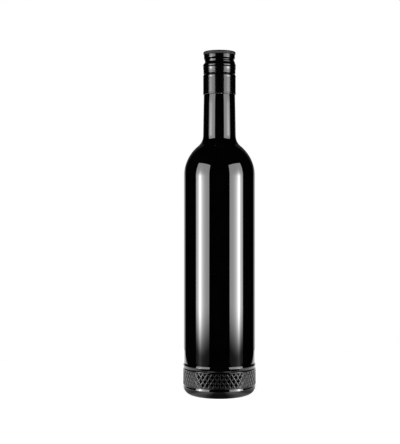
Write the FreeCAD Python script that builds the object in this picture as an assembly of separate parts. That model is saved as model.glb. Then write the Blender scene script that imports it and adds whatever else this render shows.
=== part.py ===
import FreeCAD, Part
import math
import os

# A tall round liquor bottle of black coated glass, closed with a roll-on aluminium closure.
# Millimetres, +Z up, the origin at the middle of the foot. The front is the -Y side.

# Overall
HEIGHT = 331.7
BODY_R = 34.5

# Underside, round heel and foot ring
BEARING_IN_R = 22.5
PUSH_UP = 4.5
HEEL_ROUND = 8.8
HEEL_LEAN_DEG = 8.0
FOOT_R = 34.85
FOOT_TOP = 9.4
FOOT_BELLY = 0.09

# Creases on both sides of the band
LOW_CREASE_R = 34.5
HIGH_CREASE_R = 34.55

# Lattice band
BAND_BOTTOM = 9.9
BAND_FOOT_ROUND = 0.7
BAND_TOP = 25.6
BAND_R = 35.2
BAND_EDGE = 0.4
PLAIN_BORDER = 0.6
COLUMNS = 48
ROWS = 4
ROW_STEP = 3.65
FIRST_ROW = 13.2
RIB_WIDTH = 0.9
POCKET_DEPTH = 0.6
POCKET_DRAFT = 0.4

# Bead above the band
BEAD_BOTTOM = 26.0
BEAD_TOP = 31.1
BEAD_R = 35.15

# Shoulder and neck
SHOULDER_START = 211.0
SHOULDER_ROUND = 38.0
NECK_FILLET = 13.0
NECK_FOOT_R = 15.85
NECK_TOP_R = 15.1
NECK_TOP = 290.5

# Glass finish inside the closure, as depths under its top
METAL = 0.3
NECK_IN_DEPTH = 29.0
NECK_IN_R = 13.3
TRANSFER_BEAD_DEPTH = 25.0
TRANSFER_BEAD_R = 14.6
TRANSFER_BEAD_HALF = 1.7
GROOVE_R = 13.2
COLLAR_LOW_DEPTH = 15.5
COLLAR_TOP_DEPTH = 13.0
COLLAR_R = 14.3
LIP_R = 13.4
LIP_ROUND = 1.2

# Closure, as radii and depths under its top
RIM_R = 15.7
RIM_ROUND = 1.1
RIM_DEPTH = 1.4
THREAD_WALL_R = 15.0
THREAD_WALL_TOP = 3.4
THREAD_WALL_END = 11.0
KNURL_R = 15.9
KNURL_TOP = 12.6
KNURL_END = 14.0
WAIST_R = 15.4
WAIST_DEPTH = 18.4
SLEEVE_R = 15.7
SLEEVE_TOP = 21.9
CLOSURE_DEPTH = 41.7
TEAR_DEPTH = 22.1
TEAR_HEIGHT = 0.35
BRIDGES = 8
BRIDGE_WIDTH = 1.2

UP = FreeCAD.Vector(0, 0, 1)
CENTRE = FreeCAD.Vector(0, 0, 0)


def point(radius, height):
    return FreeCAD.Vector(radius, 0, height)


def line(start, end):
    return Part.LineSegment(start, end).toShape()


def arc(start, middle, end):
    return Part.Arc(start, middle, end).toShape()


def quarter(centre, radius, start_deg, end_deg):
    """An arc in the XZ plane, given by its centre and its angles above the horizon."""
    on = []
    for angle in (start_deg, (start_deg + end_deg) / 2, end_deg):
        turn = math.radians(angle)
        on.append(centre + FreeCAD.Vector(math.cos(turn), 0, math.sin(turn)) * radius)
    return arc(*on)


def chain(*corners):
    return [line(a, b) for a, b in zip(corners, corners[1:])]


def lathe(edges):
    """Turn a closed outline round the Z axis."""
    face = Part.Face(Part.Wire(Part.__sortEdges__(edges)))
    return face.revolve(CENTRE, UP, 360)


def underside():
    """The push-up, the flat ring that the bottle stands on, and the round heel up to its widest line."""
    heel_centre = point(FOOT_R - HEEL_ROUND * math.cos(math.radians(HEEL_LEAN_DEG)), HEEL_ROUND)
    bearing_out = point(heel_centre.x, 0)
    bearing_in = point(BEARING_IN_R, 0)
    dome_r = (BEARING_IN_R**2 + PUSH_UP**2) / (2 * PUSH_UP)
    half = BEARING_IN_R / 2
    dome_mid = point(half, PUSH_UP - dome_r + math.sqrt(dome_r**2 - half**2))
    return [
        arc(point(0, PUSH_UP), dome_mid, bearing_in),
        line(bearing_in, bearing_out),
        quarter(heel_centre, HEEL_ROUND, -90, -HEEL_LEAN_DEG),
    ]


def foot_and_band():
    """The foot ring's rounded top, the plain cylinder that the lattice is cut into, and the bead above it."""
    foot_side = HEEL_ROUND * (1 - math.sin(math.radians(HEEL_LEAN_DEG)))
    ring_middle = point(FOOT_R - FOOT_BELLY, (foot_side + FOOT_TOP) / 2)
    crease = point(LOW_CREASE_R, FOOT_TOP)
    band_foot = point(BAND_R - BAND_FOOT_ROUND, BAND_BOTTOM)
    bead_foot = point(HIGH_CREASE_R, BEAD_BOTTOM)
    bead_middle = point(BEAD_R, (BEAD_BOTTOM + BEAD_TOP) / 2)
    return [
        arc(point(FOOT_R, foot_side), ring_middle, crease),
        line(crease, band_foot),
        quarter(band_foot + UP * BAND_FOOT_ROUND, BAND_FOOT_ROUND, -90, 0),
        *chain(
            point(BAND_R, BAND_BOTTOM + BAND_FOOT_ROUND),
            point(BAND_R, BAND_TOP - BAND_EDGE),
            point(BAND_R - BAND_EDGE, BAND_TOP),
            bead_foot,
        ),
        arc(bead_foot, bead_middle, point(BODY_R, BEAD_TOP)),
    ]


def shoulder_and_neck():
    """The straight body, the round shoulder, and the fillet that runs into the neck."""
    centre = point(BODY_R - SHOULDER_ROUND, SHOULDER_START)
    reach = SHOULDER_ROUND + NECK_FILLET
    out = NECK_FOOT_R + NECK_FILLET - centre.x
    fillet_centre = centre + FreeCAD.Vector(out, 0, math.sqrt(reach**2 - out**2))
    meet_deg = math.degrees(math.asin((fillet_centre.z - centre.z) / reach))
    neck_foot = point(NECK_FOOT_R, fillet_centre.z)
    return [
        line(point(BODY_R, BEAD_TOP), point(BODY_R, SHOULDER_START)),
        quarter(centre, SHOULDER_ROUND, 0, meet_deg),
        quarter(fillet_centre, NECK_FILLET, 180 + meet_deg, 180),
        line(neck_foot, point(NECK_TOP_R, NECK_TOP)),
    ]


def finish():
    """The glass inside the closure: undercut, transfer bead, collar and lip."""
    bead = HEIGHT - TRANSFER_BEAD_DEPTH
    lip_top = HEIGHT - METAL
    edges = chain(
        point(NECK_TOP_R, NECK_TOP),
        point(NECK_IN_R, HEIGHT - NECK_IN_DEPTH),
        point(NECK_IN_R, bead - TRANSFER_BEAD_HALF),
        point(TRANSFER_BEAD_R, bead),
        point(GROOVE_R, bead + TRANSFER_BEAD_HALF),
        point(GROOVE_R, HEIGHT - COLLAR_LOW_DEPTH),
        point(COLLAR_R, HEIGHT - COLLAR_LOW_DEPTH),
        point(COLLAR_R, HEIGHT - COLLAR_TOP_DEPTH),
        point(LIP_R, HEIGHT - COLLAR_TOP_DEPTH),
        point(LIP_R, lip_top - LIP_ROUND),
    )
    edges.append(quarter(point(LIP_R - LIP_ROUND, lip_top - LIP_ROUND), LIP_ROUND, 0, 90))
    edges += chain(point(LIP_R - LIP_ROUND, lip_top), point(0, lip_top), point(0, PUSH_UP))
    return edges


def diamond(half_width, half_height, radius, height):
    """A closed diamond facing the front, at a distance from the axis."""
    corners = [(half_width, 0), (0, half_height), (-half_width, 0), (0, -half_height)]
    corners.append(corners[0])
    return Part.makePolygon([FreeCAD.Vector(x, -radius, height + z) for x, z in corners])


def pocket(height, band):
    """One recess of the lattice: a diamond that narrows to its flat floor, kept between the borders."""
    half_width = math.pi * BAND_R / COLUMNS
    rib_angle = math.atan2(ROW_STEP, half_width)
    rib_across = RIB_WIDTH / 2 / math.sin(rib_angle)
    slope = ROW_STEP / half_width

    def section(radius):
        narrower = POCKET_DRAFT * (BAND_R - radius) / POCKET_DEPTH
        half = half_width - rib_across - narrower
        return diamond(half, half * slope, radius, height)

    outside = BAND_R + POCKET_DEPTH
    return Part.makeLoft([section(outside), section(BAND_R - POCKET_DEPTH)], True, True).common(band)


def lattice():
    """Staggered rows of pockets all round, leaving crossed ribs between them."""
    low = BAND_BOTTOM + PLAIN_BORDER
    high = BAND_TOP - PLAIN_BORDER
    band = Part.makeCylinder(2 * BAND_R, high - low, FreeCAD.Vector(0, 0, low))
    pitch = 360 / COLUMNS
    pockets = []
    for row in range(ROWS):
        first = pocket(FIRST_ROW + row * ROW_STEP, band)
        shift = pitch / 2 if row % 2 == 0 else 0
        for column in range(COLUMNS):
            turned = first.copy()
            turned.rotate(CENTRE, UP, shift + column * pitch)
            pockets.append(turned)
    return Part.makeCompound(pockets)


def bottle():
    glass = lathe(underside() + foot_and_band() + shoulder_and_neck() + finish())
    return glass.cut(lattice())


def closure_form(inset):
    """The turned form of the closure, drawn in by an inset for its inside."""
    top = HEIGHT - inset
    end = HEIGHT - CLOSURE_DEPTH - inset

    def at(radius, depth):
        return point(radius - inset, HEIGHT - depth)

    edges = [line(point(0, top), point(RIM_R - RIM_ROUND, top))]
    edges.append(quarter(point(RIM_R - RIM_ROUND, HEIGHT - RIM_ROUND), RIM_ROUND - inset, 90, 0))
    edges += chain(
        at(RIM_R, RIM_ROUND),
        at(RIM_R, RIM_DEPTH),
        at(THREAD_WALL_R, THREAD_WALL_TOP),
        at(THREAD_WALL_R, THREAD_WALL_END),
        at(KNURL_R, KNURL_TOP),
        at(KNURL_R, KNURL_END),
    )
    edges.append(arc(at(KNURL_R, KNURL_END), at(WAIST_R, WAIST_DEPTH), at(SLEEVE_R, SLEEVE_TOP)))
    edges += chain(at(SLEEVE_R, SLEEVE_TOP), point(SLEEVE_R - inset, end), point(0, end), point(0, top))
    return lathe(edges)


def tear_line():
    """The slits of the tear line, with narrow bridges left between them."""
    pitch = 360 / BRIDGES
    sweep = pitch - math.degrees(BRIDGE_WIDTH / SLEEVE_R)
    base = FreeCAD.Vector(0, 0, HEIGHT - TEAR_DEPTH - TEAR_HEIGHT / 2)
    inner = Part.makeCylinder(NECK_TOP_R - METAL, TEAR_HEIGHT, base)
    slit = Part.makeCylinder(RIM_R + 1, TEAR_HEIGHT, base, UP, sweep).cut(inner)
    slits = []
    for bridge in range(BRIDGES):
        turned = slit.copy()
        turned.rotate(CENTRE, UP, (bridge + 0.5) * pitch)
        slits.append(turned)
    return Part.makeCompound(slits)


def closure():
    return closure_form(0).cut(closure_form(METAL)).cut(tear_line())


def save(name, shape):
    solid = shape.Solids[0]
    assert len(shape.Solids) == 1 and solid.isValid(), name
    solid.exportStep(f"parts/{name}.step")
    print(name, "volume", round(solid.Volume), "faces", len(solid.Faces))


os.makedirs("parts", exist_ok=True)
save("bottle", bottle())
save("closure", closure())
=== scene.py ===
import math

import bmesh
import bpy
from mathutils import Matrix, Vector

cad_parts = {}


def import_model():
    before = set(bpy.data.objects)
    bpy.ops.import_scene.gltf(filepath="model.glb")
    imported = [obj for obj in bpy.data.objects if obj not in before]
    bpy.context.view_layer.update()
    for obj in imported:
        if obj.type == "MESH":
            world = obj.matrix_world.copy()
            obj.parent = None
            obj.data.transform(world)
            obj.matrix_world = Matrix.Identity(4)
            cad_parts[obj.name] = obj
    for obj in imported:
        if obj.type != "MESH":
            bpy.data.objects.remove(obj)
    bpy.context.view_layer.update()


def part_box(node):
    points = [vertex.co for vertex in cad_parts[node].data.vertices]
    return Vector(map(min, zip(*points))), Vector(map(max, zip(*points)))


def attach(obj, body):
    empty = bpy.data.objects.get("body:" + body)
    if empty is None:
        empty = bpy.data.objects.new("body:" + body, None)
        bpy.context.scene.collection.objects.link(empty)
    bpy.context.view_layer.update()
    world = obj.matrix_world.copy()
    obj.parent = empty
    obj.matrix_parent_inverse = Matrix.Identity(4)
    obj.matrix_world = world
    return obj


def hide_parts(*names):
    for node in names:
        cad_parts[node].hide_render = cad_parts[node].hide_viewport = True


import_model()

# The pieces' sizes are in millimetres, and a mesh is brought to metres when it is finished.
# The studio's sizes are in metres.
MM = 0.001
UP = Vector((0, 0, 1))
ORIGIN = Vector((0, 0, 0))

# The frame's own sizes
BOTTLE_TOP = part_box("bottle")[1][2] / MM
BAND_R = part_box("bottle")[1][0] / MM
CLOSURE_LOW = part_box("closure")[0][2] / MM
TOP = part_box("closure")[1][2] / MM

# Meshes
SAME_POINT = 1e-4
ON_SURFACE = 0.01
CREASE_DEG = 22
KNOT_STEPS = 4
# An extra ring close to an edge keeps the shading of flat parts flat.
EDGE_RING = 0.3
BODY_RING = 0.5

# Underside, round heel and foot ring
BEARING_IN_R = 22.5
PUSH_UP = 4.5
HEEL_ROUND = 8.8
HEEL_LEAN_DEG = 8.0
FOOT_R = 34.85
FOOT_TOP = 9.4
FOOT_BELLY = 0.09
LOW_CREASE_R = 34.5

# Lattice band, and the bead above it as radii and heights
BAND_BOTTOM = 9.9
BAND_FOOT_ROUND = 0.7
BAND_TOP = 25.6
BAND_EDGE = 0.4
PLAIN_BORDER = 0.6
BEAD = (
    (34.55, 26.0),
    (34.95, 27.0),
    (35.12, 28.1),
    (35.15, 28.8),
    (35.14, 29.15),
    (35.01, 29.55),
    (34.86, 30.0),
    (34.71, 30.45),
    (34.59, 30.8),
    (34.5, 30.95),
)

# Diamond lattice: ribs with a softly crowned top and steep sides
COLUMNS = 48
FIRST_ROW = 13.2
ROW_STEP = 3.65
STEPS_PER_COLUMN = 8
FINER = 2
CROWN_HALF = 0.48
CROWN_SINK = 0.03
RIB_FOOT = 0.72
POCKET_DEPTH = 0.5

# Body, shoulder and neck
BODY_R = 34.5
SHOULDER_START = 211.0
SHOULDER_ROUND = 38.0
NECK_FILLET = 13.0
NECK_FOOT_R = 15.85
NECK_TOP_R = 15.1
NECK_TOP = 290.5

# Glass finish, hidden by the closure
FINISH_RISE = 4.0
LIP_R = 13.4
LIP_CHAMFER = 1.0

# Closure: a ring on its flat top, and its side as depths under the top and radii
TOP_RING = 6.0
RIM = (
    (0.0, 14.85),
    (0.15, 15.2),
    (0.5, 15.45),
    (1.0, 15.62),
    (1.6, 15.68),
    (2.2, 15.57),
    (2.8, 15.36),
    (3.3, 15.16),
    (3.7, 15.02),
    (4.3, 15.0),
)
WALL_R = 15.0
WALL_TOP = 4.3
WALL_END = 10.3
KNURL = (
    (10.3, 15.0),
    (10.7, 15.07),
    (11.5, 15.3),
    (12.3, 15.56),
    (13.0, 15.8),
    (13.4, 15.89),
    (13.9, 15.9),
    (14.4, 15.88),
)
SCORE = ((14.95, 15.6), (15.5, 15.84))
WAIST = (
    (15.5, 15.84),
    (15.9, 15.82),
    (16.3, 15.76),
    (16.9, 15.65),
    (17.5, 15.58),
    (18.6, 15.51),
    (19.7, 15.48),
    (20.4, 15.51),
    (20.8, 15.54),
    (21.2, 15.47),
    (22.0, 15.15),
)
TEAR_TOP = 22.0
TEAR_END = 22.3
SLEEVE = (
    (22.3, 15.15),
    (22.7, 15.4),
    (23.1, 15.66),
    (23.5, 15.82),
    (23.9, 15.86),
    (24.4, 15.82),
    (25.0, 15.75),
    (25.7, 15.72),
    (27.0, 15.74),
)
SLEEVE_R = 15.75
SLEEVE_END = 39.0
HEM = (
    (39.0, 15.75),
    (39.7, 15.75),
    (40.2, 15.79),
    (40.6, 15.85),
    (41.0, 15.9),
    (41.25, 15.9),
)
HEM_ROUND = 0.45
HEM_IN_R = 15.3
HEM_IN_RISE = 2.0
CLOSURE_STEPS = 320

# Where the closure's mesh is closed inside the glass, out of sight
SEAL_SINK = 1.0
SEAL_RISE = 4.0

# Tear line with its narrow bridges
TEAR_SINK = 0.5
BRIDGES = 8
BRIDGE_WIDTH = 1.2
BRIDGE_BLEND = 0.15
BRIDGE_SHARE = 0.25

# Rolled thread: a right-hand helix that runs into a level groove, with angles from the front
THREAD_PITCH = 4.2
THREAD_DEPTH = 8.3
THREAD_LIMIT = 12.3
THREAD_FROM_DEG = -210.0
THREAD_LEVEL_DEG = -5.0
THREAD_TO_DEG = 200.0
THREAD_RUN_IN_DEG = 90
THREAD_RUN_OUT_DEG = 60
THREAD_HALF = 0.95
THREAD_UPPER_FLANK = 1.05
THREAD_LOWER_FLANK = 0.75
THREAD_SINK = 0.95
# The helix's end, where it is wider and lower down
THREAD_WIDE_HALF = 1.8
THREAD_WIDE_FLANK = 1.6
THREAD_WIDE_LOWER = 0.4
THREAD_WIDE_BLEND_DEG = 20


# ---------------------------------------------------------------- outlines


def arc(centre, radius, start_deg, end_deg, steps):
    """Points of an arc in the (radius, height) plane, its first point left out."""
    points = []
    for step in range(1, steps + 1):
        turn = math.radians(start_deg + (end_deg - start_deg) * step / steps)
        points.append((centre[0] + radius * math.cos(turn), centre[1] + radius * math.sin(turn)))
    return points


def through(start, middle, end, steps):
    """Points of the arc through three points, its first point left out."""
    (ax, ay), (bx, by), (cx, cy) = start, middle, end
    a2, b2, c2 = ax * ax + ay * ay, bx * bx + by * by, cx * cx + cy * cy
    four_areas = 2 * (ax * (by - cy) + bx * (cy - ay) + cx * (ay - by))
    ux = (a2 * (by - cy) + b2 * (cy - ay) + c2 * (ay - by)) / four_areas
    uy = (a2 * (cx - bx) + b2 * (ax - cx) + c2 * (bx - ax)) / four_areas
    first, last = (math.atan2(y - uy, x - ux) for x, y in (start, end))
    last += 2 * math.pi * round((first - last) / (2 * math.pi))
    radius = math.hypot(ax - ux, ay - uy)
    return arc((ux, uy), radius, math.degrees(first), math.degrees(last), steps)


def straight(start, end, steps):
    """Evenly spaced points of a line, its first point left out."""
    (x, y), (end_x, end_y) = start, end
    return [(x + (end_x - x) * k / steps, y + (end_y - y) * k / steps) for k in range(1, steps + 1)]


def flowing(knots):
    """Points of a smooth curve through the knots, its first point left out."""
    ends = [knots[0], *knots, knots[-1]]
    points = []
    for four in zip(ends, ends[1:], ends[2:], ends[3:]):
        for step in range(1, KNOT_STEPS + 1):
            t = step / KNOT_STEPS
            # Catmull-Rom shares of the knot before, the two ends and the knot after
            shares = (
                (-t + 2 * t**2 - t**3) / 2,
                (2 - 5 * t**2 + 3 * t**3) / 2,
                (t + 4 * t**2 - 3 * t**3) / 2,
                (t**3 - t**2) / 2,
            )
            points.append(tuple(sum(w * knot[k] for w, knot in zip(shares, four)) for k in (0, 1)))
    return points


def bottle_outline():
    """The glass from the middle of the underside to the middle of the lip."""
    points = [(0, PUSH_UP)]
    dome_r = (BEARING_IN_R**2 + PUSH_UP**2) / (2 * PUSH_UP)
    dome_deg = math.degrees(math.asin(BEARING_IN_R / dome_r))
    points += arc((0, PUSH_UP - dome_r), dome_r, 90, 90 - dome_deg, steps=7)
    lean = math.radians(HEEL_LEAN_DEG)
    heel_centre = (FOOT_R - HEEL_ROUND * math.cos(lean), HEEL_ROUND)
    points += [(heel_centre[0] - EDGE_RING, 0), (heel_centre[0], 0)]
    points += arc(heel_centre, HEEL_ROUND, -90, -HEEL_LEAN_DEG, steps=16)
    ring_middle = (FOOT_R - FOOT_BELLY, (points[-1][1] + FOOT_TOP) / 2)
    points += through(points[-1], ring_middle, (LOW_CREASE_R, FOOT_TOP), steps=6)
    band_foot = (BAND_R - BAND_FOOT_ROUND, BAND_BOTTOM + BAND_FOOT_ROUND)
    points += [(band_foot[0], BAND_BOTTOM)]
    points += arc(band_foot, BAND_FOOT_ROUND, -90, 0, steps=8)
    points += band_rings()
    points += arc((BAND_R - BAND_EDGE, BAND_TOP - BAND_EDGE), BAND_EDGE, 0, 90, steps=6)
    points += [BEAD[0], *flowing(BEAD)]
    points += [(BODY_R, BEAD[-1][1] + BODY_RING)]
    points += straight(points[-1], (BODY_R, SHOULDER_START - BODY_RING), steps=6)
    points += [(BODY_R, SHOULDER_START)]
    points += shoulder_outline()
    points += [(LIP_R, NECK_TOP + FINISH_RISE), (LIP_R, BOTTLE_TOP - LIP_CHAMFER)]
    points += [(LIP_R - LIP_CHAMFER, BOTTLE_TOP), (0, BOTTLE_TOP)]
    return points


def band_rings():
    """Rings up the band that fall on the lattice's own points."""
    rise = 2 * ROW_STEP / (STEPS_PER_COLUMN * FINER)
    low, high = BAND_BOTTOM + BAND_FOOT_ROUND, BAND_TOP - BAND_EDGE
    # A ring nearer than a quarter step to the band's ends would only make slivers.
    first = math.ceil((low + rise / 4 - FIRST_ROW) / rise)
    last = math.floor((high - rise / 4 - FIRST_ROW) / rise)
    return [(BAND_R, FIRST_ROW + k * rise) for k in range(first, last + 1)] + [(BAND_R, high)]


def shoulder_outline():
    """The shoulder's arc, the fillet into the neck and the slim neck."""
    centre = (BODY_R - SHOULDER_ROUND, SHOULDER_START)
    reach = SHOULDER_ROUND + NECK_FILLET
    out = NECK_FOOT_R + NECK_FILLET - centre[0]
    up = math.sqrt(reach**2 - out**2)
    meet = math.degrees(math.atan2(up, out))
    fillet_centre = (centre[0] + out, centre[1] + up)
    points = arc(centre, SHOULDER_ROUND, 0, meet, steps=26)
    points += arc(fillet_centre, NECK_FILLET, 180 + meet, 180, steps=12)
    points += straight(points[-1], (NECK_TOP_R, NECK_TOP), steps=4)
    return points


def down(knots):
    """A stretch of the closure's outside through its knots."""
    return flowing([(radius, TOP - depth) for depth, radius in knots])


def closure_outline():
    """The closure from the middle of its top, down its outside, round its hem and back inside."""
    edge_r = RIM[0][1]
    points = [(0, TOP), (edge_r - TOP_RING, TOP), (edge_r - EDGE_RING, TOP), (edge_r, TOP)]
    points += down(RIM)
    points += straight(points[-1], (WALL_R, TOP - WALL_END), steps=34)
    points += down(KNURL)
    for depth, radius in SCORE:
        points += straight(points[-1], (radius, TOP - depth), steps=3)
    points += down(WAIST)
    points += straight(points[-1], (SLEEVE[0][1], TOP - TEAR_END), steps=4)
    points += down(SLEEVE)
    points += straight(points[-1], (SLEEVE_R, TOP - SLEEVE_END), steps=12)
    points += down(HEM)
    hem_centre = (HEM[-1][1] - HEM_ROUND, CLOSURE_LOW + HEM_ROUND)
    points += arc(hem_centre, HEM_ROUND, 0, -90, steps=8)
    points += [(HEM_IN_R, CLOSURE_LOW), (HEM_IN_R, CLOSURE_LOW + HEM_IN_RISE)]
    points += [(NECK_TOP_R - SEAL_SINK, CLOSURE_LOW + SEAL_RISE), (0, CLOSURE_LOW + SEAL_RISE)]
    return points


# ---------------------------------------------------------------- meshes


def turned(outline, steps):
    """A bmesh of the outline spun round the Z axis, with its seam and poles closed."""
    bm = bmesh.new()
    verts = [bm.verts.new((radius, 0, height)) for radius, height in outline]
    edges = [bm.edges.new(pair) for pair in zip(verts, verts[1:])]
    bmesh.ops.spin(
        bm, geom=verts + edges, cent=ORIGIN, axis=UP, dvec=ORIGIN, angle=2 * math.pi,
        steps=steps, use_merge=True, use_normal_flip=False, use_duplicate=False,
    )
    bmesh.ops.remove_doubles(bm, verts=bm.verts, dist=SAME_POINT)
    bmesh.ops.recalc_face_normals(bm, faces=bm.faces)
    return bm


def smoothstep(low, high, value):
    """0 below the span, 1 above it and a smooth rise between."""
    t = min(1.0, max(0.0, (value - low) / (high - low)))
    return t * t * (3 - 2 * t)


def refine_band(bm):
    """Cut the rings of the lattice band into shorter steps."""
    low, high = BAND_BOTTOM + BAND_FOOT_ROUND, BAND_TOP - BAND_EDGE
    rings = []
    for edge in bm.edges:
        one, other = (vert.co for vert in edge.verts)
        level = abs(one.z - other.z) < SAME_POINT
        in_band = low - ON_SURFACE < one.z < high + ON_SURFACE
        outside = min(one.xy.length, other.xy.length) > BAND_R - ON_SURFACE
        if level and in_band and outside:
            rings.append(edge)
    bmesh.ops.subdivide_edges(bm, edges=rings, cuts=FINER - 1)


def rib_section(away):
    """How deep the surface lies at a distance from a rib's middle."""
    crown = CROWN_SINK * min(away / CROWN_HALF, 1) ** 2
    side = min(1, max(0, (away - CROWN_HALF) / (RIB_FOOT - CROWN_HALF)))
    return crown + (POCKET_DEPTH - CROWN_SINK) * side


def press_lattice(bm):
    """Sink the diamonds between the crossed ribs and the plain borders."""
    half_width = math.pi * BAND_R / COLUMNS
    per_mm = half_width * ROW_STEP / math.hypot(half_width, ROW_STEP)
    low, high = BAND_BOTTOM + PLAIN_BORDER, BAND_TOP - PLAIN_BORDER
    for vert in bm.verts:
        x, y, z = vert.co
        radius = math.hypot(x, y)
        if radius < BAND_R - ON_SURFACE or not low < z < high:
            continue
        across = (math.atan2(y, x) / math.pi + 0.5) * COLUMNS - 1
        along = (z - FIRST_ROW) / ROW_STEP
        from_ribs = [1 - abs(s - 2 * round(s / 2)) for s in (across + along, across - along)]
        away = min(min(from_ribs) * per_mm, z - low, high - z)
        vert.co.xy *= (BAND_R - rib_section(away)) / radius


def thread_groove(turn, depth):
    """The share of the full groove at an angle along the helix and a depth under the top."""
    wide = 1 - smoothstep(
        THREAD_LEVEL_DEG - THREAD_WIDE_BLEND_DEG, THREAD_LEVEL_DEG + THREAD_WIDE_BLEND_DEG, turn
    )
    centre = THREAD_DEPTH - THREAD_PITCH * min(turn - THREAD_LEVEL_DEG, 0) / 360
    centre += THREAD_WIDE_LOWER * wide
    half = THREAD_HALF + (THREAD_WIDE_HALF - THREAD_HALF) * wide
    upper = THREAD_UPPER_FLANK + (THREAD_WIDE_FLANK - THREAD_UPPER_FLANK) * wide
    above, below = centre - half, centre + half
    ends = smoothstep(THREAD_FROM_DEG, THREAD_FROM_DEG + THREAD_RUN_IN_DEG, turn)
    ends *= 1 - smoothstep(THREAD_TO_DEG - THREAD_RUN_OUT_DEG, THREAD_TO_DEG, turn)
    inside = smoothstep(above - upper, above + upper, depth)
    inside *= 1 - smoothstep(below - THREAD_LOWER_FLANK, below + THREAD_LOWER_FLANK, depth)
    return ends * inside


def roll_thread(bm):
    """Press the right-hand thread into the closure's wall."""
    for vert in bm.verts:
        x, y, z = vert.co
        depth = TOP - z
        radius = math.hypot(x, y)
        if radius < WALL_R - ON_SURFACE or not WALL_TOP < depth < THREAD_LIMIT:
            continue
        from_front = math.degrees(math.atan2(y, x)) + 90
        groove = max(thread_groove(turn, depth) for turn in (from_front - 360, from_front))
        vert.co.xy *= (radius - THREAD_SINK * groove) / radius


def cut_tear_line(bm):
    """Sink the tear line, all but its narrow bridges."""
    pitch = 2 * math.pi / BRIDGES
    edge = BRIDGE_WIDTH / 2
    for vert in bm.verts:
        x, y, z = vert.co
        radius = math.hypot(x, y)
        if radius < WALL_R or not TEAR_TOP + ON_SURFACE < TOP - z < TEAR_END - ON_SURFACE:
            continue
        turn = math.atan2(y, x) / pitch - 0.5
        off_bridge = abs(turn - round(turn)) * pitch * radius
        cut = smoothstep(edge - BRIDGE_BLEND, edge + BRIDGE_BLEND, off_bridge)
        sunk = TEAR_SINK * (BRIDGE_SHARE + (1 - BRIDGE_SHARE) * cut)
        vert.co.xy *= (radius - sunk) / radius


def linked(name, data):
    """A new object in the scene."""
    item = bpy.data.objects.new(name, data)
    bpy.context.scene.collection.objects.link(item)
    return item


def meshed(bm, name, material):
    """The bmesh as an object of one material."""
    mesh = bpy.data.meshes.new(name)
    bm.to_mesh(mesh)
    bm.free()
    mesh.materials.append(material)
    return linked(name, mesh)


def finished(bm, name, material):
    """The bmesh as a smooth shaded piece in metres, carried by the body."""
    bmesh.ops.triangulate(bm, faces=bm.faces, quad_method="SHORT_EDGE", ngon_method="BEAUTY")
    bmesh.ops.transform(bm, matrix=Matrix.Scale(MM, 4), verts=bm.verts)
    for face in bm.faces:
        face.smooth = True
    for edge in bm.edges:
        edge.smooth = edge.calc_face_angle(0) < math.radians(CREASE_DEG)
    piece = meshed(bm, name, material)
    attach(piece, "root")
    return piece


# ---------------------------------------------------------------- materials


class Nodes:
    """Short calls for a material's node tree."""

    def __init__(self, name):
        self.material = bpy.data.materials.new(name)
        self.material.use_nodes = True
        self.tree = self.material.node_tree
        self.tree.nodes.clear()

    def add(self, kind, sockets=None, **settings):
        """A shader node with its settings made and its sockets fed."""
        node = self.tree.nodes.new("ShaderNode" + kind)
        for key, value in settings.items():
            setattr(node, key, value)
        for key, value in (sockets or {}).items():
            self.feed(node.inputs[key], value)
        return node

    def feed(self, socket, value):
        """Link another node's result into the socket, or set a plain value."""
        if isinstance(value, bpy.types.NodeSocket):
            self.tree.links.new(value, socket)
        else:
            socket.default_value = value

    def maths(self, operation, *values):
        node = self.add("Math", operation=operation)
        for socket, value in zip(node.inputs, values):
            self.feed(socket, value)
        return node.outputs[0]

    def times(self, one, other):
        return self.maths("MULTIPLY", one, other)

    def plus(self, one, other):
        return self.maths("ADD", one, other)

    def ramp(self, value, span, results):
        """A smooth change from one result to the other while the value crosses the span."""
        ends = dict(zip(("From Min", "From Max", "To Min", "To Max"), (*span, *results)))
        node = self.add("MapRange", {"Value": value, **ends}, interpolation_type="SMOOTHSTEP")
        return node.outputs["Result"]

    def place(self):
        return self.add("TexCoord").outputs["Object"]

    def axes(self):
        """The X, Y and Z of the piece's own coordinates."""
        return self.add("SeparateXYZ", {"Vector": self.place()}).outputs

    def from_axis(self, axes):
        """The distance from the Z axis."""
        squares = [self.maths("POWER", axes[name], 2.0) for name in "XY"]
        return self.maths("SQRT", self.plus(*squares))

    def noise(self, scale, detail, stretch=(1, 1, 1)):
        mapping = self.add("Mapping", {"Vector": self.place(), "Scale": stretch})
        node = self.add("TexNoise", {"Vector": mapping.outputs[0], "Scale": scale, "Detail": detail})
        return node.outputs["Fac"]

    def bump(self, height, strength, distance):
        sockets = {"Height": height, "Strength": strength, "Distance": distance}
        return self.add("Bump", sockets).outputs[0]

    def coated(self, tint, blue, rough, ior, normal):
        """A material of one nearly black colour, a little bluer than grey."""
        sockets = {"Red": tint, "Green": tint, "Blue": self.times(tint, blue)}
        colour = self.add("CombineColor", sockets).outputs[0]
        coat = {"Base Color": colour, "Roughness": rough, "IOR": ior, "Normal": normal}
        return self.surface(self.add("BsdfPrincipled", coat))

    def glowing(self, strength):
        """A material that only shines."""
        return self.surface(self.add("Emission", {"Strength": strength}))

    def surface(self, shader):
        self.add("OutputMaterial", {"Surface": shader.outputs[0]})
        return self.material


# The middle part of a noise, from nearly its darkest to nearly its lightest
NOISE_SPAN = (0.3, 0.7)
BLACK_TINT = (0.0003, 0.0006)

# Coating on the glass
GLASS_IOR = 1.55
GLASS_BLUE = 1.15
GLASS_ROUGH = (0.018, 0.05)
HAZE_SPAN = (0.45, 0.8)
RIB_TOP_SINK = (0.2, 0.1)
RIB_HAZE = 0.2

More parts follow.
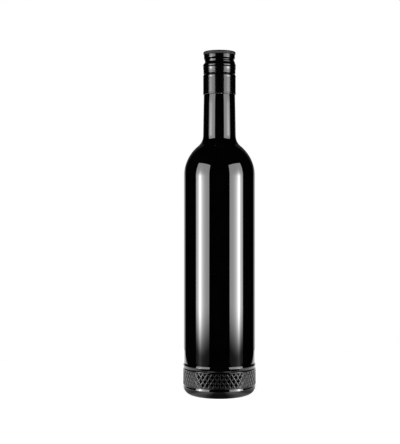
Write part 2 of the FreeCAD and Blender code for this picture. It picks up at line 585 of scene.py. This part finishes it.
# Lacquer on the metal, rubbed rougher at the rim with a painted grey sheen over it, and bare at the
# hem's cut edge
LACQUER_IOR = 1.5
LACQUER_BLUE = 1.1
LACQUER_ROUGH = (0.12, 0.15)
WEAR_AND_SHEEN_STARTS = (0.3, 1.6)
WEAR_AND_SHEEN_ENDS = (2.8, 3.2)
WEAR_AND_SHEEN_AT_EDGE = 0.3
RUBBED_ROUGH = 0.6
# A painted grey sheen on the rim, which lightens its colour
RIM_SHEEN_TINT = 0.01
BARE_HEIGHTS = (0.16, 0.1)
BARE_TINT = 0.25


def metres(*sizes):
    return tuple(size * MM for size in sizes)


def black_glass():
    """Glossy black coating: nearly a mirror, with slow waviness, and ribs dulled by handling."""
    n = Nodes("black_coated_glass")
    axes = n.axes()
    rib_span = metres(*(BAND_R - sink for sink in RIB_TOP_SINK))
    low, high = metres(BAND_BOTTOM + PLAIN_BORDER, BAND_TOP - PLAIN_BORDER)
    rib_top = n.ramp(n.from_axis(axes), rib_span, (0.0, 1.0))
    in_band = n.times(n.maths("GREATER_THAN", axes["Z"], low), n.maths("LESS_THAN", axes["Z"], high))
    handled = n.times(rib_top, in_band)
    haze = n.ramp(n.noise(scale=38, detail=4), HAZE_SPAN, GLASS_ROUGH)
    rough = n.plus(haze, n.times(handled, RIB_HAZE))
    waves = n.noise(scale=22, detail=1, stretch=(1, 1, 0.25))
    normal = n.bump(waves, strength=0.02, distance=0.002)
    tint = n.ramp(n.noise(scale=60, detail=2), NOISE_SPAN, BLACK_TINT)
    return n.coated(tint, GLASS_BLUE, rough, GLASS_IOR, normal)


def black_metal():
    """Satin black lacquer over spun aluminium: fine turning marks, a rubbed rougher rim with a
    painted sheen lightening it, and bare cut edge.
    """
    n = Nodes("black_lacquered_metal")
    height = n.axes()["Z"]
    marks = n.noise(scale=900, detail=3, stretch=(0.02, 0.02, 1))
    patch = n.noise(scale=70, detail=3)
    depth = n.maths("SUBTRACT", TOP * MM, height)
    wear_and_sheen = n.times(
        n.ramp(depth, metres(*WEAR_AND_SHEEN_STARTS), (WEAR_AND_SHEEN_AT_EDGE, 1.0)),
        n.ramp(depth, metres(*WEAR_AND_SHEEN_ENDS), (1.0, 0.0)),
    )
    rough = n.ramp(n.plus(n.times(marks, 0.5), n.times(patch, 0.5)), NOISE_SPAN, LACQUER_ROUGH)
    rough = n.plus(rough, n.times(wear_and_sheen, RUBBED_ROUGH))
    bare_span = metres(*(CLOSURE_LOW + rise for rise in BARE_HEIGHTS))
    bare = n.ramp(height, bare_span, (0.0, 1.0))
    tint = n.plus(n.ramp(patch, NOISE_SPAN, BLACK_TINT), n.times(bare, BARE_TINT))
    # The rim's lighter colour is a painted sheen, laid over its real rubbed roughness.
    tint = n.plus(tint, n.times(wear_and_sheen, RIM_SHEEN_TINT))
    normal = n.bump(marks, strength=0.03, distance=0.0001)
    return n.coated(tint, LACQUER_BLUE, rough, LACQUER_IOR, normal)


# ---------------------------------------------------------------- studio

CAMERA_AWAY = 0.9948
CAMERA_HEIGHT = 0.1808
CAMERA_LENS = 83.1081
CAMERA_SENSOR = 36.0
CAMERA_SHIFT = (-0.0438063, -0.0326577)
CAMERA_CLIP = 50

# Two softboxes stand in front, one on each side. The angles are turned away from the front.
SOFTBOX_AWAY = 1.2
SOFTBOX_INNER = math.radians(32.4)
SOFTBOX_OUTER = math.radians(80)
SOFTBOX_MIDDLE = (SOFTBOX_INNER + SOFTBOX_OUTER) / 2
SOFTBOX_CORE = math.radians(64.6)
SOFTBOX_TOP = 0.97
SOFTBOX_LOW = -0.16
GLOW_PLATEAU = 4.7
GLOW_CORE = 24.0
# Distances over which the core fades: to both sides, once more to its outer side, and above its top
CORE_SPREAD = 0.16
CORE_OUTER_SPREAD = 0.41
CORE_TOP = 0.23
CORE_RISE = 0.125
LOW_FADE = (-0.136, -0.02)
LOW_GLOW = 0.03

BACKDROP_AWAY = 1.0
BACKDROP_HALF = 0.84
BACKDROP_LOW = -0.2
BACKDROP_TOP = 1.4
BACKDROP_FADE_UP = (0.22, 0.4)
BACKDROP_FADE_OUT = (0.45, 0.84)
BACKDROP_HIGH_GLOW = 0.08
BACKDROP_SIDE_GLOW = 0.2

# The floor, and on it the glowing sheet that the gloss sees: painted light in place of the lit floor,
# with painted shade in it, a contact shadow round the foot, a darker strip down the middle and darker
# bands beside
FLOOR_R = 0.32
FLOOR_GREY = (0.8, 0.8, 0.8, 1)
FLOOR_WHITE = 0.74
SHEET_GLOW = 1.65
SHEET_FRONT = (-0.0635, -0.0585)
SHEET_SIDE = (0.17, 0.21)
FOOT_SHADE = (0.03, 0.046)
FOOT_GLOW = 0.3
MIDDLE_SHADE = (0.006, 0.02)
MIDDLE_GLOW = 0.1
BESIDE_FALL = (0.024, 0.034)
BESIDE_RISE = (0.055, 0.085)
BESIDE_GLOW = 0.25


def camera():
    """A level camera straight in front, with its view shifted instead of tilted."""
    data = bpy.data.cameras.new("camera")
    data.sensor_width = CAMERA_SENSOR
    data.lens = CAMERA_LENS
    data.shift_x, data.shift_y = CAMERA_SHIFT
    data.clip_end = CAMERA_CLIP
    viewer = linked("camera", data)
    viewer.location = (0, -CAMERA_AWAY, CAMERA_HEIGHT)
    viewer.rotation_euler = (math.pi / 2, 0, 0)
    bpy.context.scene.camera = viewer


def upright_plane(name, half, away, low, high, material):
    """A staged upright plane, seen in the gloss but not by the camera."""
    bm = bmesh.new()
    corners = ((-half, away, low), (half, away, low), (half, away, high), (-half, away, high))
    bm.faces.new([bm.verts.new(corner) for corner in corners])
    plane = meshed(bm, name, material)
    plane.visible_camera = False
    return plane


def softbox_light(side):
    """The softbox's glow: an even plateau and a brighter upright core, which fade above and below."""
    n = Nodes("softbox_" + side)
    axes = n.axes()
    core_at = SOFTBOX_AWAY * math.tan(SOFTBOX_CORE - SOFTBOX_MIDDLE)
    away = n.maths("SUBTRACT", axes["X"], core_at)
    above = n.maths("MAXIMUM", n.maths("SUBTRACT", axes["Z"], CORE_TOP), 0.0)
    sideways = n.times(n.maths("ABSOLUTE", away), -1 / CORE_SPREAD)
    outward = n.times(n.maths("MAXIMUM", away, 0.0), -1 / CORE_OUTER_SPREAD)
    upward = n.times(above, -1 / CORE_RISE)
    core = n.maths("EXPONENT", n.plus(n.plus(sideways, outward), upward))
    glow = n.plus(n.times(core, GLOW_CORE), GLOW_PLATEAU)
    return n.glowing(n.times(glow, n.ramp(axes["Z"], LOW_FADE, (LOW_GLOW, 1.0))))


def softbox(side, sign):
    """One softbox, turned to face the object."""
    half = SOFTBOX_AWAY * math.tan((SOFTBOX_OUTER - SOFTBOX_INNER) / 2)
    light = softbox_light(side)
    plane = upright_plane("softbox_" + side, half, 0, SOFTBOX_LOW, SOFTBOX_TOP, light)
    across, ahead = math.sin(SOFTBOX_MIDDLE), math.cos(SOFTBOX_MIDDLE)
    # The plane's own +X runs outward, away from the camera, on both sides.
    outward = Vector((sign * ahead, across, 0))
    centre = Vector((sign * across, -ahead, 0)) * SOFTBOX_AWAY
    basis = Matrix((outward, UP.cross(outward), UP)).transposed()
    plane.matrix_world = Matrix.Translation(centre) @ basis.to_4x4()


def backdrop_light():
    """The backdrop's glow, which fades above and to the sides."""
    n = Nodes("backdrop_paper")
    axes = n.axes()
    upward = n.ramp(axes["Z"], BACKDROP_FADE_UP, (1.0, BACKDROP_HIGH_GLOW))
    outward = n.ramp(n.maths("ABSOLUTE", axes["X"]), BACKDROP_FADE_OUT, (1.0, BACKDROP_SIDE_GLOW))
    return n.glowing(n.times(upward, outward))


def backdrop():
    """White paper behind the object, seen in its glossy edges."""
    light = backdrop_light()
    plane = upright_plane("backdrop", BACKDROP_HALF, BACKDROP_AWAY, BACKDROP_LOW, BACKDROP_TOP, light)
    plane.visible_diffuse = False


def floor_paper():
    """Pale paper that keeps a faint shadow; the gloss sees only the sheet round the object."""
    n = Nodes("floor_paper")
    axes = n.axes()
    across = n.maths("ABSOLUTE", axes["X"])
    front = n.ramp(axes["Y"], SHEET_FRONT, (0.0, 1.0))
    sides = n.ramp(across, SHEET_SIDE, (1.0, 0.0))
    # Painted shade in the sheet's glow: a contact shadow round the foot, a darker strip down the
    # middle and darker bands to each side.
    foot_shadow = n.ramp(n.from_axis(axes), FOOT_SHADE, (FOOT_GLOW, 1.0))
    middle = n.ramp(across, MIDDLE_SHADE, (MIDDLE_GLOW, 1.0))
    side_shade = n.maths(
        "MAXIMUM",
        n.ramp(across, BESIDE_FALL, (1.0, BESIDE_GLOW)),
        n.ramp(across, BESIDE_RISE, (BESIDE_GLOW, 1.0)),
    )
    sheet_shade = n.times(n.times(foot_shadow, middle), side_shade)
    sheet = n.add("Emission", {"Strength": n.times(sheet_shade, SHEET_GLOW)})
    beyond = n.add("BsdfTransparent")
    on_sheet = n.times(front, sides)
    gloss = n.add("MixShader", {0: on_sheet, 1: beyond.outputs[0], 2: sheet.outputs[0]})
    lit = n.add("BsdfDiffuse", {"Color": FLOOR_GREY})
    white = n.add("Emission", {"Strength": FLOOR_WHITE})
    seen = n.add("AddShader", {0: lit.outputs[0], 1: white.outputs[0]})
    by_camera = n.add("LightPath").outputs["Is Camera Ray"]
    return n.surface(n.add("MixShader", {0: by_camera, 1: gloss.outputs[0], 2: seen.outputs[0]}))


def floor():
    """A plain pale disc that the object stands on."""
    bm = bmesh.new()
    bmesh.ops.create_circle(bm, cap_ends=True, radius=FLOOR_R, segments=96)
    disc = meshed(bm, "floor", floor_paper())


def world():
    """White where the camera sees past everything, dark for the reflections."""
    scene_world = bpy.data.worlds.new("studio")
    bpy.context.scene.world = scene_world
    scene_world.use_nodes = True
    tree = scene_world.node_tree
    background = tree.nodes["Background"]
    background.inputs["Color"].default_value = (1, 1, 1, 1)
    path = tree.nodes.new("ShaderNodeLightPath")
    tree.links.new(path.outputs["Is Camera Ray"], background.inputs["Strength"])


def studio():
    """The camera, the lights and what the object stands on."""
    camera()
    softbox("left", -1)
    softbox("right", 1)
    backdrop()
    floor()
    world()
    bpy.context.scene.view_settings.view_transform = "Standard"


# ---------------------------------------------------------------- pieces


def glass_bottle():
    """The coated glass with the diamond lattice round its foot."""
    bm = turned(bottle_outline(), COLUMNS * STEPS_PER_COLUMN)
    refine_band(bm)
    press_lattice(bm)
    piece = finished(bm, "glass_bottle", black_glass())
    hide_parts("bottle")


def metal_closure():
    """The roll-on closure with its thread and tear line."""
    bm = turned(closure_outline(), CLOSURE_STEPS)
    roll_thread(bm)
    cut_tear_line(bm)
    piece = finished(bm, "metal_closure", black_metal())
    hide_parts("closure")


glass_bottle()
metal_closure()
studio()
